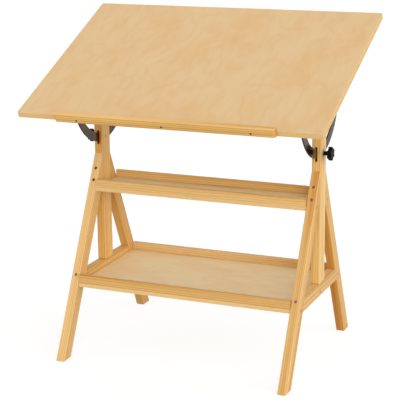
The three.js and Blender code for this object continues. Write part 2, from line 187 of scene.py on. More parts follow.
def gathered(parts):
    """Several meshes as one."""
    out = bmesh.new()
    for part in parts:
        mesh = bpy.data.meshes.new("gathered")
        part.to_mesh(mesh)
        out.from_mesh(mesh)
        bpy.data.meshes.remove(mesh)
    return out


def combined(bm, other, operation="DIFFERENCE"):
    """Exact boolean of two closed meshes, as a new mesh."""
    objects = []
    for part in (bm, other):
        mesh = bpy.data.meshes.new("combined")
        part.to_mesh(mesh)
        o = bpy.data.objects.new("combined", mesh)
        bpy.context.scene.collection.objects.link(o)
        objects.append(o)
    body, tool = objects
    boolean = body.modifiers.new("boolean", "BOOLEAN")
    boolean.operation = operation
    boolean.solver = "EXACT"
    boolean.object = tool
    graph = bpy.context.evaluated_depsgraph_get()
    mesh = bpy.data.meshes.new_from_object(body.evaluated_get(graph))
    out = bmesh.new()
    out.from_mesh(mesh)
    bpy.data.meshes.remove(mesh)
    for o in objects:
        data = o.data
        bpy.data.objects.remove(o)
        bpy.data.meshes.remove(data)
    return out


def carved(bm, cutters):
    return combined(bm, gathered(cutters)) if cutters else bm


def piece(name, bm, space, body, material, along=X, across=Y, replaces=()):
    """Makes the object of a mesh drawn in a space. Its own X axis runs along the grain."""
    bm.transform(space)
    turn = space.to_3x3().normalized()
    x = (turn @ Vector(along)).normalized()
    y = turn @ Vector(across)
    y = (y - y.dot(x) * x).normalized()
    z = x.cross(y)
    low = Vector([min(v.co[i] for v in bm.verts) for i in range(3)])
    high = Vector([max(v.co[i] for v in bm.verts) for i in range(3)])
    home = Matrix((x, y, z)).transposed().to_4x4()
    home.translation = (low + high) / 2
    bm.transform(home.inverted())
    mesh = bpy.data.meshes.new(name)
    bm.to_mesh(mesh)
    bm.free()
    mesh.shade_smooth()
    mesh.set_sharp_from_angle(angle=SHARP_ANGLE)
    mesh.materials.append(material)
    o = bpy.data.objects.new(name, mesh)
    bpy.context.scene.collection.objects.link(o)
    o.matrix_world = home
    normals = o.modifiers.new("normals", "WEIGHTED_NORMAL")
    normals.keep_sharp = True
    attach(o, body)
    if replaces:
        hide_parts(*replaces)
    return o


# ---------------------------------------------------------------- materials


def node(tree, kind, settings=None, **inputs):
    """Adds a shader node. An input is named by its label, or i0, i1 for its place."""
    made = tree.nodes.new("ShaderNode" + kind)
    for key, value in (settings or {}).items():
        setattr(made, key, value)
    for key, value in inputs.items():
        by_place = key[0] == "i" and key[1:].isdigit()
        socket = made.inputs[int(key[1:]) if by_place else key.replace("_", " ")]
        if isinstance(value, bpy.types.NodeSocket):
            tree.links.new(value, socket)
        else:
            socket.default_value = value
    return made


def blank(name):
    material = bpy.data.materials.new(name)
    material.use_nodes = True
    tree = material.node_tree
    tree.nodes.clear()
    return material, tree


def surfaced(tree, **inputs):
    shader = node(tree, "BsdfPrincipled", **inputs)
    output = node(tree, "OutputMaterial")
    tree.links.new(shader.outputs["BSDF"], output.inputs["Surface"])


def math_node(tree, operation, a, b=0.0):
    return node(tree, "Math", {"operation": operation}, i0=a, i1=b).outputs[0]


def mixed(tree, factor, a, b, blend="MIX"):
    settings = {"data_type": "RGBA", "blend_type": blend}
    return node(tree, "Mix", settings, i0=factor, i6=a, i7=b).outputs[2]


def ramp(tree, factor, stops):
    made = node(tree, "ValToRGB", i0=factor)
    band = made.color_ramp
    while len(band.elements) < len(stops):
        band.elements.new(0.5)
    for element, (place, colour) in zip(band.elements, stops):
        element.position = place
        element.color = (*colour, 1)
    return made.outputs["Color"]


def noise(tree, vector, scale, detail=2.0, roughness=0.5, stretch=(1, 1, 1), shift=(0, 0, 0)):
    mapping = node(tree, "Mapping", Vector=vector, Location=shift, Scale=stretch)
    return node(
        tree, "TexNoise", Vector=mapping.outputs[0], Scale=scale, Detail=detail, Roughness=roughness,
    ).outputs[0]


def grey(value):
    return (value, value, value)


def scaled(colour, factor):
    return tuple(c * factor for c in colour)


def tinted(tree, colour, factor, stops):
    """Multiplies a colour by a ramp of tints."""
    return mixed(tree, 1.0, colour, ramp(tree, factor, stops), "MULTIPLY")


def facing(tree, coords, axis, least):
    """1 where the surface looks along one of the piece's own axes, either way."""
    normal = node(tree, "SeparateXYZ", Vector=coords.outputs["Normal"]).outputs[axis]
    return math_node(tree, "GREATER_THAN", math_node(tree, "ABSOLUTE", normal), least)


WOOD_LIGHT = (0.770, 0.492, 0.196)
WOOD_LATE = (0.575, 0.310, 0.080)
HEARTWOOD_TINT = (0.90, 0.70, 0.42)
END_GRAIN_TINT = (0.84, 0.75, 0.66)
# Painted shade on the walls of the post's slot.
SLOT_SHADE_TINT = (0.16, 0.10, 0.07)
# Red-brown painted shadow beside the post's slot.
SLOT_SHADOW_TINT = (0.64, 0.42, 0.46)


def solid_wood(
    name, seed, tone=(1, 1, 1), spacing=5.5, pith=(60, 45), late=0.6, flush=0.3, wander=4.5,
    painted_shade_tint=(1, 1, 1), heartwood_and_painted_shade=None, painted_slot_shade=None, slot_shadow=None,
):
    """Lacquered straight-grained wood: growth rings round a far pith, streaks, fibres and end grain.

    The ring spacing and the pith's place across the grain are in millimetres. Late is the depth of the
    dark rings, flush the strength of the reddish heartwood, and wander how many rings a line strays
    along the grain. The tint for faces that look along the piece's own Z is painted shade. A stretch
    along the grain brings in heartwood, and on the back right leg it is painted shade on the lower end.
    The slot's half width, low end and high end mark its walls, darkened as painted shade, and beside
    the slot falls a red-brown painted shadow, given by its reach from the slot and the side it falls to.
    """
    material, tree = blank(name)
    coords = node(tree, "TexCoord")
    here = coords.outputs["Object"]
    pith_y, pith_z = (place * 0.001 for place in pith)
    across = node(tree, "Mapping", Vector=here, Location=(0, pith_y, pith_z), Scale=(0, 1, 1))
    radius = node(tree, "VectorMath", {"operation": "LENGTH"}, i0=across.outputs[0]).outputs["Value"]
    sway = noise(tree, here, 1.0, 2.0, 0.5, (1.5, 8, 8), (seed, 0, 0))
    count = math_node(tree, "DIVIDE", radius, spacing * 0.001)
    strayed = math_node(tree, "ADD", count, math_node(tree, "MULTIPLY", sway, wander))
    growth = math_node(tree, "FRACT", strayed)
    light = tuple(a * t for a, t in zip(WOOD_LIGHT, tone))
    dark = tuple((late * b + (1 - late) * a) * t for a, b, t in zip(WOOD_LIGHT, WOOD_LATE, tone))
    colour = ramp(tree, growth, [(0.0, light), (0.4, light), (0.82, dark), (0.93, dark), (1.0, light)])
    streaks = noise(tree, here, 1.0, 2.0, 0.5, (1.1, 85, 85), (0, seed, 0))
    streak_tints = [(0.30, (0.89, 0.825, 0.62)), (0.5, (1, 1, 1)), (0.70, (1.04, 1.07, 1.17))]
    colour = tinted(tree, colour, streaks, streak_tints)
    broad = noise(tree, here, 1.0, 2.0, 0.5, (2.4, 17, 17), (0, 0, seed))
    broad_tints = [(0.27, (0.95, 0.915, 0.86)), (0.5, (1, 1, 1)), (0.75, (1.03, 1.04, 1.06))]
    colour = tinted(tree, colour, broad, broad_tints)
    heart = noise(tree, here, 1.0, 1.0, 0.5, (0.8, 42, 42), (seed, seed, 0))
    lengthwise, sideways = (node(tree, "SeparateXYZ", Vector=here).outputs[i] for i in (0, 1))
    # Heartwood that comes in along the grain; on the back right leg it is painted shade darkening the lower
    # end.
    if heartwood_and_painted_shade:
        start, end = (place * 0.001 for place in heartwood_and_painted_shade)
        heartwood_and_shade_ramp = node(tree, "MapRange", Value=lengthwise, i1=start, i2=end, i4=0.16).outputs[0]
        heart = math_node(tree, "ADD", heart, heartwood_and_shade_ramp)
    red = tuple(1 - flush * (1 - c) for c in HEARTWOOD_TINT)
    colour = tinted(tree, colour, heart, [(0.56, (1, 1, 1)), (0.70, red)])
    fibres = noise(tree, here, 1.0, 4.0, 0.62, (14, 620, 620), (seed, 0, 0))
    colour = tinted(tree, colour, fibres, [(0.25, (0.925, 0.90, 0.86)), (0.75, (1.045, 1.05, 1.06))])
    # Painted shade: faces that look along the piece's own Z are darkened by a tint.
    painted_shade_faces = mixed(tree, 1.0, colour, (*painted_shade_tint, 1), "MULTIPLY")
    colour = mixed(tree, facing(tree, coords, 2, 0.72), colour, painted_shade_faces)
    end_grain = mixed(tree, 1.0, colour, (*END_GRAIN_TINT, 1), "MULTIPLY")
    colour = mixed(tree, facing(tree, coords, 0, 0.72), colour, end_grain)
    # Painted shade: the walls of the post's slot are darkened.
    if painted_slot_shade:
        half, low, high = (place * 0.001 for place in painted_slot_shade)
        beside = math_node(tree, "ABSOLUTE", math_node(tree, "SUBTRACT", lengthwise, (low + high) / 2))
        slot_shade_mask = math_node(tree, "LESS_THAN", beside, (high - low) / 2)
        narrow = math_node(tree, "LESS_THAN", math_node(tree, "ABSOLUTE", sideways), half)
        slot_shade_mask = math_node(tree, "MULTIPLY", slot_shade_mask, narrow)
        # Painted shadow: a red-brown band on the post's face beside the slot.
        if slot_shadow:
            reach, way = slot_shadow[0] * 0.001, slot_shadow[1]
            away = math_node(tree, "MULTIPLY", sideways, way)
            full, gone = half + 0.35 * reach, half + reach
            slot_shadow_mask = node(tree, "MapRange", Value=away, i1=full, i2=gone, i3=1.0, i4=0.0)
            full, gone = 0.36 * (high - low), 0.56 * (high - low)
            fade = node(tree, "MapRange", Value=beside, i1=full, i2=gone, i3=1.0, i4=0.0)
            slot_shadow_mask = math_node(tree, "MULTIPLY", slot_shadow_mask.outputs[0], fade.outputs[0])
            slot_shadow_mask = math_node(tree, "MULTIPLY", slot_shadow_mask, math_node(tree, "GREATER_THAN", away, 0.0))
            slot_shadowed = mixed(tree, 1.0, colour, (*SLOT_SHADOW_TINT, 1), "MULTIPLY")
            colour = mixed(tree, slot_shadow_mask, colour, slot_shadowed)
        slot_shaded = mixed(tree, 1.0, colour, (*SLOT_SHADE_TINT, 1), "MULTIPLY")
        colour = mixed(tree, slot_shade_mask, colour, slot_shaded)
    roughness = node(tree, "MapRange", Value=fibres, i3=0.44, i4=0.60).outputs[0]
    height = math_node(tree, "ADD", math_node(tree, "MULTIPLY", growth, 0.35), fibres)
    bump = node(tree, "Bump", Strength=0.2, Distance=0.00025, Height=height)
    surfaced(tree, Base_Color=colour, Roughness=roughness, Normal=bump.outputs[0], Specular_IOR_Level=0.28)
    return material


PLY_EDGE_LIGHT, PLY_EDGE_DARK, PLY_GLUE = (0.790, 0.548, 0.240), (0.720, 0.465, 0.178), (0.52, 0.31, 0.11)


def plywood(name, seed, face, thickness, plies):
    """Rotary-cut veneer on the faces and stacked plies on the edges. The board's own Z is its thickness."""
    material, tree = blank(name)
    coords = node(tree, "TexCoord")
    here = coords.outputs["Object"]
    # Figure: faint contours of a slow uneven surface, as a lathe-peeled sheet shows.
    slow = noise(tree, here, 1.0, 2.0, 0.5, (4.0, 6.5, 6.5), (seed, 0, 0))
    finer = noise(tree, here, 1.0, 2.0, 0.5, (13.0, 22.0, 22.0), (0, seed, 0))
    slow, finer = math_node(tree, "MULTIPLY", slow, 7.0), math_node(tree, "MULTIPLY", finer, 1.2)
    contour = math_node(tree, "FRACT", math_node(tree, "ADD", slow, finer))
    yellow = (face[0] * 1.004, face[1] * 1.022, face[2] * 1.010)
    peach = (face[0] * 0.992, face[1] * 0.957, face[2] * 0.925)
    colour = ramp(tree, contour, [(0.0, face), (0.35, yellow), (0.65, face), (0.86, peach), (1.0, face)])
    clouds = noise(tree, here, 1.0, 3.0, 0.6, (5.0, 8.0, 8.0), (0, seed, seed))
    cloud_tints = [(0.36, (0.988, 0.945, 0.885)), (0.5, (1, 1, 1)), (0.66, (1.006, 1.026, 1.04))]
    colour = tinted(tree, colour, clouds, cloud_tints)
    strokes = noise(tree, here, 1.0, 3.0, 0.55, (13, 62, 62), (seed, 0, seed))
    stroke_tints = [(0.3, (0.985, 0.97, 0.945)), (0.5, (1, 1, 1)), (0.7, (1.008, 1.014, 1.02))]
    colour = tinted(tree, colour, strokes, stroke_tints)
    fibres = noise(tree, here, 1.0, 4.0, 0.6, (24, 520, 520), (seed, 0, 0))
    colour = tinted(tree, colour, fibres, [(0.3, (0.972, 0.962, 0.945)), (0.72, (1.018, 1.022, 1.03))])
    # Edges: thin plies that alternate between long grain and end grain.
    depth = node(tree, "SeparateXYZ", Vector=here).outputs[2]
    wander = noise(tree, here, 1.0, 1.0, 0.5, (9, 9, 9), (seed, seed, 0))
    share = math_node(tree, "ADD", math_node(tree, "DIVIDE", depth, thickness * 0.001), 0.485)
    share = math_node(tree, "ADD", share, math_node(tree, "MULTIPLY", wander, 0.03))
    phase = math_node(tree, "FRACT", math_node(tree, "MULTIPLY", share, plies / 2))
    layers = [
        (0.0, PLY_GLUE), (0.04, PLY_EDGE_LIGHT), (0.47, PLY_EDGE_LIGHT), (0.50, PLY_GLUE),
        (0.53, PLY_EDGE_DARK), (0.96, PLY_EDGE_DARK), (1.0, PLY_GLUE),
    ]
    edge_grain = noise(tree, here, 1.0, 3.0, 0.6, (140, 140, 700), (0, 0, seed))
    edge_tints = [(0.3, (0.94, 0.92, 0.88)), (0.7, (1.03, 1.03, 1.04))]
    edge = tinted(tree, ramp(tree, phase, layers), edge_grain, edge_tints)
    colour = mixed(tree, facing(tree, coords, 2, 0.55), edge, colour)
    roughness = node(tree, "MapRange", Value=fibres, i3=0.46, i4=0.60).outputs[0]
    bump = node(tree, "Bump", Strength=0.12, Distance=0.0002, Height=fibres)
    surfaced(tree, Base_Color=colour, Roughness=roughness, Normal=bump.outputs[0], Specular_IOR_Level=0.28)
    return material


def metal(name, colour, worn, metallic, roughness, scale):
    """Plated or blackened steel: uneven sheen, fine scratches and rubbed patches."""
    material, tree = blank(name)
    here = node(tree, "TexCoord").outputs["Object"]
    grain = noise(tree, here, scale, 4.0, 0.65)
    scratches = noise(tree, here, 1.0, 3.0, 0.6, (90, 900, 900))
    patches = noise(tree, here, 70.0, 2.0, 0.5)
    rubbed = math_node(tree, "MULTIPLY", ramp(tree, patches, [(0.48, grey(0)), (0.78, grey(1))]), 0.5)
    tint = mixed(tree, rubbed, (*colour, 1), (*worn, 1))
    tint = tinted(tree, tint, scratches, [(0.3, grey(0.86)), (0.7, grey(1.10))])
    rough = node(tree, "MapRange", Value=grain, i3=roughness - 0.08, i4=roughness + 0.12).outputs[0]
    bump = node(tree, "Bump", Strength=0.12, Distance=0.00012, Height=grain)
    surfaced(tree, Base_Color=tint, Metallic=metallic, Roughness=rough, Normal=bump.outputs[0])
    return material


def gloss_black(name, colour, dusty, sheared):
    """Smooth blackened steel strip: mirror-like faces with patches of dust, and dull sheared edges.

    The strip's own Y is its thickness.
    """
    material, tree = blank(name)
    coords = node(tree, "TexCoord")
    here = coords.outputs["Object"]
    dust = noise(tree, here, 55.0, 4.0, 0.6)
    brushed = noise(tree, here, 1.0, 3.0, 0.55, (30, 260, 260))
    peel = noise(tree, here, 380.0, 2.0, 0.5)
    tint = mixed(tree, ramp(tree, dust, [(0.42, grey(0)), (0.75, grey(1))]), (*colour, 1), (*dusty, 1))
    tint = tinted(tree, tint, brushed, [(0.3, grey(0.75)), (0.7, grey(1.3))])
    rough = node(tree, "MapRange", Value=dust, i3=0.08, i4=0.22).outputs[0]
    flat = facing(tree, coords, 1, 0.8)
    edge_tint = tinted(tree, (*sheared, 1), brushed, [(0.3, grey(0.7)), (0.7, grey(1.3))])
    tint = mixed(tree, flat, edge_tint, tint)
    duller = math_node(tree, "MULTIPLY", math_node(tree, "SUBTRACT", 1.0, flat), 0.25)
    rough = math_node(tree, "ADD", rough, duller)
    bump = node(tree, "Bump", Strength=0.05, Distance=0.0002, Height=peel)
    surfaced(
        tree, Base_Color=tint, Metallic=flat, Roughness=rough, Normal=bump.outputs[0],
        Specular_IOR_Level=0.05,
    )
    return material


def moulded(name, colour):
    """Moulded black plastic: fine spark texture and a dull shine."""
    material, tree = blank(name)
    here = node(tree, "TexCoord").outputs["Object"]
    spark = noise(tree, here, 2600.0, 2.0, 0.6)
    dust = noise(tree, here, 160.0, 3.0, 0.6)
    dusted = ramp(tree, dust, [(0.45, grey(0)), (0.8, grey(0.6))])
    tint = mixed(tree, dusted, (*colour, 1), (*scaled(colour, 2.2), 1))
    rough = node(tree, "MapRange", Value=dust, i3=0.30, i4=0.44).outputs[0]
    bump = node(tree, "Bump", Strength=0.2, Distance=0.00008, Height=spark)
    surfaced(
        tree, Base_Color=tint, Roughness=rough, Normal=bump.outputs[0], Specular_IOR_Level=0.08,
        Specular_Tint=(1.0, 0.84, 0.70, 1),
    )
    return material


PLY_FACE = (0.702, 0.478, 0.247)
SHELF_FACES = {"upper": (0.840, 0.665, 0.390), "lower": (0.872, 0.680, 0.402)}
top_ply = plywood("top_plywood", 3.0, PLY_FACE, TOP_THICKNESS, 9)
shelf_ply = {
    "upper": plywood("upper_shelf_plywood", 8.0, SHELF_FACES["upper"], SHELF_PANEL, 7),
    "lower": plywood("lower_shelf_plywood", 14.0, SHELF_FACES["lower"], SHELF_PANEL, 7),
}
black_steel = gloss_black(
    "black_gloss_steel", colour=(0.130, 0.088, 0.055), dusty=(0.190, 0.136, 0.090),
    sheared=(0.024, 0.016, 0.010),
)
dark_steel = metal("dark_plated_steel", (0.270, 0.225, 0.180), (0.40, 0.35, 0.29), 0.95, 0.34, 1500.0)
# Darker brown copy of the bolt steel: painted shade and reflection in two bolts' recesses.
painted_shade_bolt_steel = metal("painted_shade_bolt_steel", (0.190, 0.100, 0.042), (0.27, 0.16, 0.08), 0.9, 0.38, 1500.0)
brown_steel = metal("browned_steel", (0.030, 0.016, 0.008), (0.06, 0.036, 0.020), 0.5, 0.42, 1500.0)
zinc_steel = metal("zinc_plated_steel", (0.400, 0.360, 0.300), (0.56, 0.52, 0.45), 1.0, 0.38, 1200.0)
black_plastic = moulded("black_moulded_plastic", (0.0060, 0.0045, 0.0035))


# ---------------------------------------------------------------- fasteners

# Wood screws: head radius, head depth, shank radius and length.
PANEL_SCREW = (4, 2.5, 2, 45)
LEDGE_SCREW = (3, 2, 1.6, 38)
UNDER_SCREW = (3.5, 2.2, 1.7, 24)
BEARER_SCREW = (4.0, 2.4, 2.0, 24)


def leg_line(leg):
    """Numbers for a sloping leg: post face, face lines and the direction square into its outer face."""
    foot, height, side = LEGS[leg]
    post_face = side * (POST_HALF + GAP)
    slope = (post_face - foot) / height
    along_y = LEG_THICKNESS * math.hypot(1, slope)

    def outer(z):
        return foot + slope * z

    def inner(z):
        return outer(z) - side * along_y

    inner_top = (post_face + side * along_y - foot) / slope
    into = Vector((0, -side, side * slope)).normalized()
    along = Vector((0, slope, 1)).normalized()
    return {
        "post_face": post_face, "outer": outer, "inner": inner, "inner_top": inner_top,
        "top": height, "into": into, "along": along,
    }


def leg_bolt_hole(start, into, length):
    head, shank, neck = LEG_BOLT["head"] + GAP, LEG_BOLT["shank"] + GAP, LEG_BOLT["neck"] + GAP
    profile = [(0, -3), (head, -3), (head, neck), (shank, neck), (shank, length + GAP), (0, length + GAP)]
    return turned(profile, start, into)


def leg_bolt(start, into, length):
    """Socket-head bolt, sunk below the wood, with a hexagon socket."""
    head, sink, shank, neck = (LEG_BOLT[key] for key in ("head", "sink", "shank", "neck"))
    profile = [
        (0, sink), (head - 0.5, sink), (head - 0.15, sink + 0.15), (head, sink + 0.5),
        (head, neck), (shank, neck), (shank, length - 1), (shank - 0.8, length), (0, length),
    ]
    socket = rod(LEG_BOLT["socket"], 0, sink + LEG_BOLT["socket_depth"], start, into, 6)
    return combined(turned(profile, start, into), socket)


def screw_hole(screw, start, into):
    head, depth, shank, length = screw
    profile = [
        (0, -2), (head + GAP, -2), (head + GAP, GAP), (shank + GAP, depth + GAP),
        (shank + GAP, length + GAP), (0, length + GAP),
    ]
    return turned(profile, start, into)


def aimed(bm, start, into):
    """Moves a shape drawn along +Z so that it begins at start and points into a direction."""
    turn = Z.rotation_difference(Vector(into).normalized()).to_matrix().to_4x4()
    bm.transform(Matrix.Translation(Vector(start)) @ turn)
    return bm


def cross_screw(screw, start, into):
    """Countersunk wood screw with a cross recess."""
    head, depth, shank, length = screw
    profile = [
        (0, 0.05), (head - 0.25, 0.05), (head, 0.3), (shank, depth), (shank, length - 4), (0, length),
    ]
    arms = []
    arm_reach, arm_half = head * 0.52, head * 0.105
    for x, y in ((arm_reach, arm_half), (arm_half, arm_reach)):
        arm = block((-x, x), (-y, y), (-1, 1.7))
        for v in arm.verts:
            if v.co.z > 0:
                v.co.x *= 0.45 if x > y else 1
                v.co.y *= 0.45 if y > x else 1
        arms.append(arm)
    recess = combined(arms[0], arms[1], "UNION")
    return combined(turned(profile, start, into), aimed(recess, start, into))


def pan_screw(start, into, length):
    """Pan-head screw whose head stands on the surface at start."""
    profile = [
        (0, -2.5), (2.0, -2.4), (3.2, -1.9), (3.9, -0.9), (4.0, -0.1),
        (2.0, -0.1), (2.0, length - 1), (0, length),
    ]
    arm, half, deep = (-1.9, 1.9), (-0.4, 0.4), (-4, -1.2)
    recess = combined(block(arm, half, deep), block(half, arm, deep), "UNION")
    return combined(turned(profile, start, into), aimed(recess, start, into))


# ---------------------------------------------------------------- the wood of each member

# The side tints are painted shade on the legs' front and back faces.
LEG_WOOD = {
    ("front", "left"): {"seed": 2.3, "tone": (1.02, 1.03, 1.08), "pith": (75, 30)},
    ("front", "right"): {
        "seed": 11.5, "tone": (1.03, 1.03, 1.05), "pith": (75, 30), "painted_shade_tint": (0.90, 0.86, 0.78),
        "flush": 0.75, "heartwood_and_painted_shade": (60, 220),
    },
    ("back", "left"): {
        "seed": 4.6, "tone": (0.95, 0.91, 0.85), "pith": (50, 60), "painted_shade_tint": (0.91, 0.79, 0.54),
    },
    # Back right: the heartwood stretch toward the lower end, at full flush, is painted shade there, and the
    # side tint is painted shade.
    ("back", "right"): {
        "seed": 13.8, "tone": (0.96, 0.93, 0.88), "pith": (50, 60), "painted_shade_tint": (0.84, 0.66, 0.38),
        "flush": 1.0, "heartwood_and_painted_shade": (60, -100),
    },
}
# The left post's red-brown painted shadow reaches 9 mm from the slot, towards the post's own +Y. The side
# tints are painted shade on the posts' front and back faces.
POST_WOOD = {
    "left": {
        "seed": 9.2, "tone": (1.07, 1.08, 1.08), "pith": (40, 75), "painted_shade_tint": (0.84, 0.72, 0.48),
        "slot_shadow": (9.0, 1),
    },
    "right": {
        "seed": 18.4, "tone": (1.14, 1.20, 1.40), "pith": (40, 75), "painted_shade_tint": (0.87, 0.81, 0.58),
    },
}
RAIL_WOOD = {
    "left": {"seed": 6.9, "tone": (0.96, 0.93, 0.82)},
    "right": {"seed": 16.1, "tone": (1.0, 1.0, 1.03)},
}
SHELF_BOARD_WOOD = {
    ("upper", "front"): {"seed": 20.7, "tone": (0.98, 0.97, 0.93), "pith": (25, 70)},
    ("upper", "back"): {"seed": 23.0, "tone": (0.96, 0.97, 0.94), "pith": (35, 80)},
    ("lower", "front"): {"seed": 25.3, "tone": (0.88, 0.80, 0.64), "pith": (25, 70)},
    ("lower", "back"): {"seed": 27.6, "tone": (0.92, 0.96, 1.08), "pith": (35, 80)},
}
LEDGE_WOOD = {
    "seed": 41.7, "tone": (1.02, 0.98, 0.84), "spacing": 6.5, "pith": (15, 89), "late": 1.0, "flush": 0.0,
    "wander": 1.2,
}
BEARER_WOOD = {"left": {"seed": 47}, "right": {"seed": 53}}
# Bolts that take the darker steel, as painted shade and reflection in their recesses.
SHADED_BOLTS = [("front", "left", "upper"), ("front", "left", "middle")]


# ---------------------------------------------------------------- A-frames


def add_leg_bolts(side_name, side, cuts):
    """Bolts through both legs, into the post or the rail. Their holes are added to the cuts."""
    for leg in LEGS:
        line = leg_line(leg)
        for bolt, (height, length) in LEG_BOLTS.items():
            start = (side * LEG_BOLT_X, line["outer"](height), height)
            for target in (leg, "rail" if bolt == "rail" else "post"):
                cuts[target].append(leg_bolt_hole(start, line["into"], length))
            node_name = f"leg_bolt_{leg}_{side_name}_{bolt}"
            painted_shade_bolt = (leg, side_name, bolt) in SHADED_BOLTS
            piece(
                f"{node_name}_detail", leg_bolt(start, line["into"], length), TABLE, "frame",
                painted_shade_bolt_steel if painted_shade_bolt else dark_steel,
                along=line["into"], across=X, replaces=[node_name],
            )


def add_panel_screws(side_name, side, cuts):
    """Screws through a leg or the rail into the ends of the shelf panels, with their holes."""
    outward = X * side
    for place, (y, z) in PANEL_SCREWS.items():
        start = (side * FRAME_OUTER, y, z)
        level, where = place.split("_")
        for target in (level, "rail" if where == "middle" else where):
            cuts[target].append(screw_hole(PANEL_SCREW, start, -outward))
        node_name = f"panel_screw_{side_name}_{place}"
        piece(
            f"{node_name}_detail", cross_screw(PANEL_SCREW, start, -outward), TABLE, "frame",
            zinc_steel, replaces=[node_name],
        )


def add_leg(leg, side_name, frame_x, holes):
    """Sloping leg, cut level at the floor and upright where it lies against the post."""
    line = leg_line(leg)
    points = [
        (line["outer"](0), 0), (line["inner"](0), 0),
        (line["post_face"], line["inner_top"]), (line["post_face"], line["top"]),
    ]
    wood = solid_wood(f"{leg}_leg_{side_name}_wood", **LEG_WOOD[leg, side_name])
    piece(
        f"{leg}_leg_{side_name}_wood", carved(eased(extruded(points, *frame_x), 2.0), holes), TABLE,
        "frame", wood, along=line["along"], across=X, replaces=[f"{leg}_leg_{side_name}"],
    )


def add_side_rail(side_name, frame_x, holes):
    """Rail under the post, with its ends cut to the slopes of both legs."""
    front, back = leg_line("front")["inner"], leg_line("back")["inner"]
    points = [
        (front(RAIL_BOTTOM) + GAP, RAIL_BOTTOM), (back(RAIL_BOTTOM) - GAP, RAIL_BOTTOM),
        (back(RAIL_TOP) - GAP, RAIL_TOP), (front(RAIL_TOP) + GAP, RAIL_TOP),
    ]
    wood = solid_wood(f"side_rail_{side_name}_wood", **RAIL_WOOD[side_name])
    piece(
        f"side_rail_{side_name}_wood", carved(eased(extruded(points, *frame_x), 1.4), holes), TABLE,
        "frame", wood, along=Y, across=X, replaces=[f"side_rail_{side_name}"],
    )


def add_post(side_name, side, frame_x, holes):
    """Post with a round top, the mortise that the quadrant runs through, and its bores."""
    outward = X * side
    points = [(-POST_HALF, RAIL_TOP + GAP), (POST_HALF, RAIL_TOP + GAP)]
    for k in range(33):
        angle = math.pi * k / 32
        points.append((POST_HALF * math.cos(angle), PIVOT_HEIGHT + POST_HALF * math.sin(angle)))
    slot_inner, slot_outer, slot_low, slot_high = MORTISE
    half_width = (slot_outer - slot_inner) / 2
    middle = side * (slot_outer + slot_inner) / 2
    mortise = []
    for turn_from, end in ((0, slot_high - half_width), (1, slot_low + half_width)):
        for k in range(13):
            angle = math.pi * (turn_from + k / 12)
            mortise.append((middle + half_width * math.cos(angle), end + half_width * math.sin(angle)))
    bm = eased(extruded(points, *frame_x), 2.0)
    bm = carved(bm, [extruded(mortise, -POST_HALF - PAST, POST_HALF + PAST, "Y")])
    bores = [
        rod(M8_BORE, FRAME_INNER - PAST, FRAME_OUTER + PAST, PIVOT, outward),
        rod(PILOT_BORE, FRAME_INNER - PAST, slot_inner + 1.5, CLAMP, outward),
        rod(INSERT_BORE, slot_outer - 1.5, FRAME_OUTER + PAST, CLAMP, outward),
    ]
    bm = carved(bm, bores + holes)
    post_middle = (RAIL_TOP + GAP + PIVOT_HEIGHT + POST_HALF) / 2
    # The slot's walls are darkened as painted shade.
    painted_slot_shade = (half_width + GAP, slot_low - post_middle - GAP, slot_high - post_middle + GAP)
    wood = solid_wood(f"post_{side_name}_wood", painted_slot_shade=painted_slot_shade, **POST_WOOD[side_name])
    piece(
        f"post_{side_name}_wood", bm, TABLE, "frame", wood, along=Z, across=X,
        replaces=[f"post_{side_name}"],
    )


def add_hinge(side_name, side):
    """Hinge bolt with a domed head, spacer and flange nut."""
    outward = X * side
    profile = [
        (0, 300), (3.4, 300), (4, 300.8), (4, 360.3), (8.7, 360.3), (9, 360.6), (9, 361.4),
        (8.4, 362.5), (7.0, 363.8), (4.9, 364.8), (2.4, 365.2), (0, 365.3),
    ]
    piece(
        f"pivot_bolt_{side_name}_detail", turned(profile, PIVOT, outward, 48), TABLE, "frame",
        zinc_steel, replaces=[f"pivot_bolt_{side_name}"],
    )
    piece(
        f"pivot_spacer_{side_name}_detail", ring(M8_BORE, *SPACER, PIVOT, outward), TABLE, "frame",
        zinc_steel, replaces=[f"pivot_spacer_{side_name}"],
    )
    corners = [math.pi * k / 3 for k in range(6)]
    hexagon = [(7.5 * math.cos(angle), PIVOT_HEIGHT + 7.5 * math.sin(angle)) for angle in corners]
    hexagon = eased(extruded(hexagon, side * 303, side * 310.5), 0.5, 2)
    profile = [(0, 309), (7, 309), (9.6, 310), (10, 310.4), (10, 311.4), (9.7, 311.7), (0, 311.7)]
    flange = turned(profile, PIVOT, outward, 48)
    nut = carved(combined(flange, hexagon, "UNION"), [rod(M8_BORE, 299, 313, PIVOT, outward)])
    piece(
        f"pivot_nut_{side_name}_detail", nut, TABLE, "frame", zinc_steel,
        replaces=[f"pivot_nut_{side_name}"],
    )


